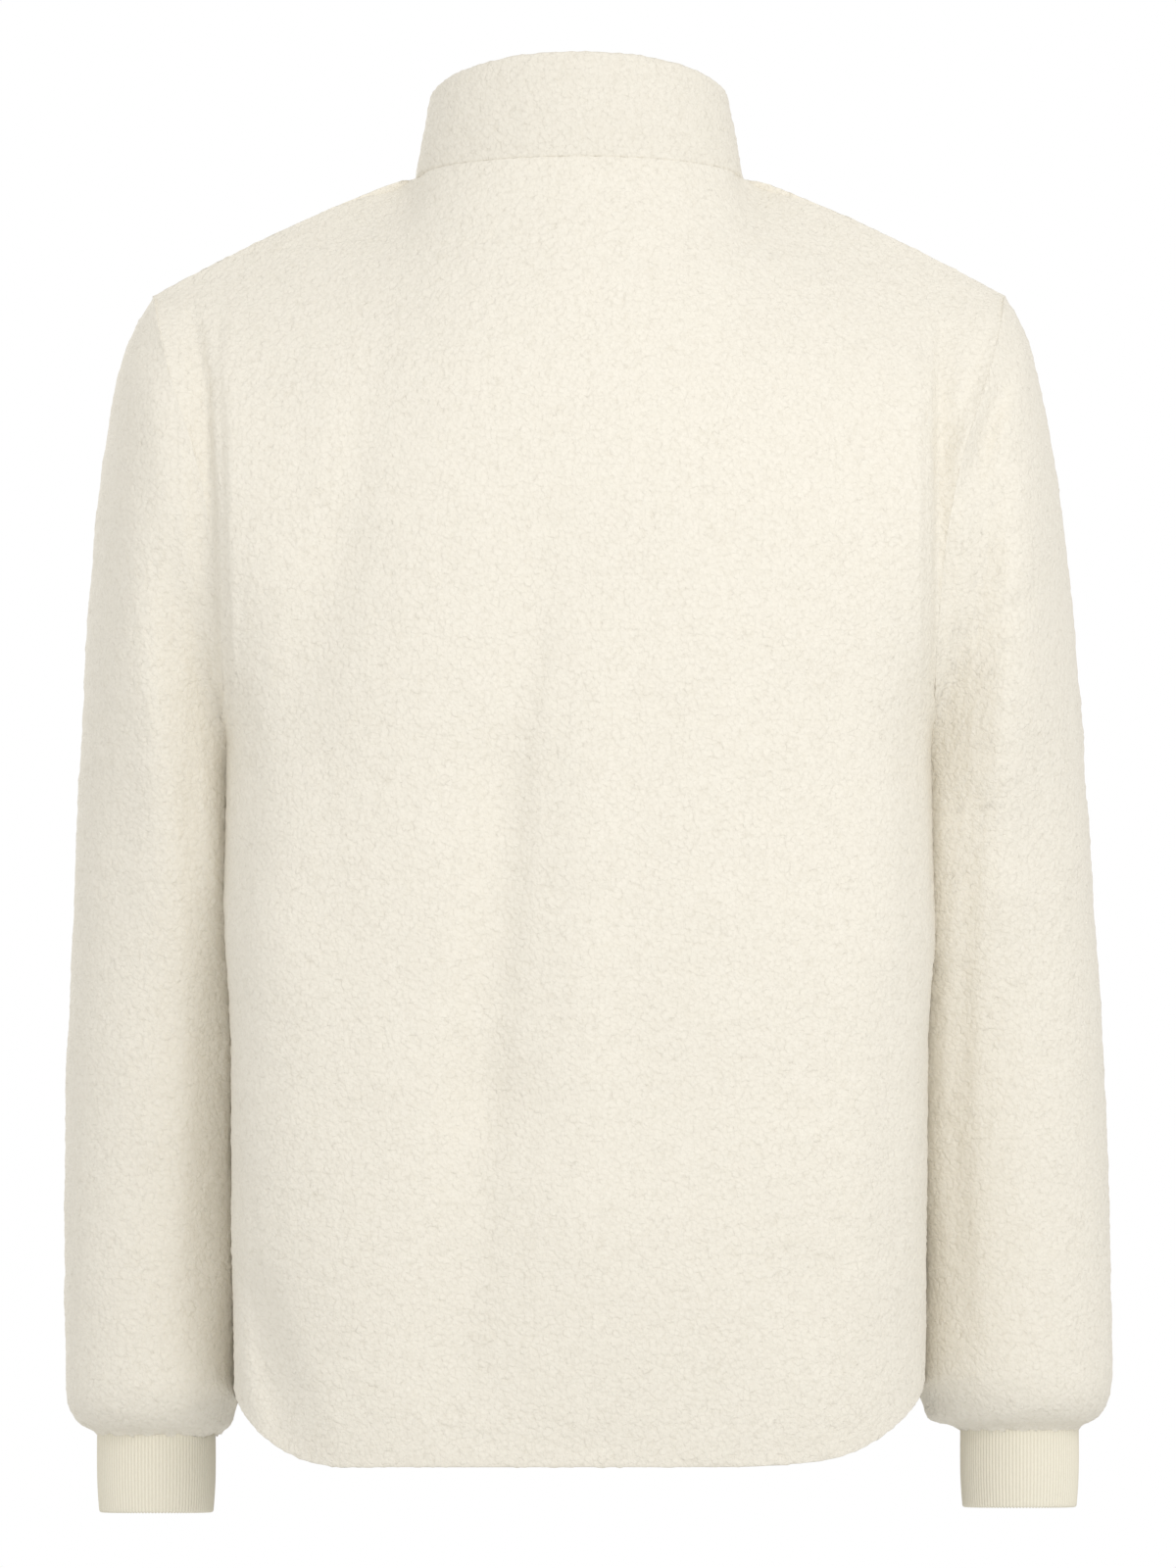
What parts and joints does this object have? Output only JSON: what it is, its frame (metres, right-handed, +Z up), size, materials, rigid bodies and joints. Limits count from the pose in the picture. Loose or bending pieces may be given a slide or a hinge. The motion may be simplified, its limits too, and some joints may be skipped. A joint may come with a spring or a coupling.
{
  "type": "sherpa jacket",
  "caption": "Sherpa fleece jacket filled out as worn with nobody in it: stand collar, full-length front zip, long sleeves with ribbed cuffs and a hem with rounded corners.",
  "frame": {"origin": "inside the neck on the middle plane, level with the middle of the back neck seam, where the wearer's neck and shoulders hold the jacket", "axes": "+Z up, +Y out of the wearer's back, +X to the wearer's left"},
  "size_m": [0.6013, 0.2734, 0.8364],
  "materials": {
    "fleece": "cream sherpa fleece with a curled, clumped pile",
    "rib": "cream rib knit with fine upright ribs",
    "zip_cloth": "woven cream zip tape",
    "zip_teeth": "moulded cream plastic teeth",
    "zip_metal": "satin nickel"
  },
  "bodies": {
    "jacket": {"back": "fleece", "front_left": "fleece", "front_right": "fleece", "collar": "fleece", "sleeve_left": "fleece", "sleeve_right": "fleece", "cuff_left": "rib", "cuff_right": "rib", "zip_tape_left": "zip_cloth", "zip_tape_right": "zip_cloth", "zip_chain": "zip_teeth", "zip_slider": "zip_metal"},
    "pull_tab": {"zip_pull": "zip_metal"}
  },
  "joints": [
    {"name": "pull_hinge", "type": "hinge", "parent": "jacket", "child": "pull_tab", "pos_m": [0, -0.09241, -0.0122], "axis": [-1, 0, 0], "range_deg": [0, 160]}
  ]
}
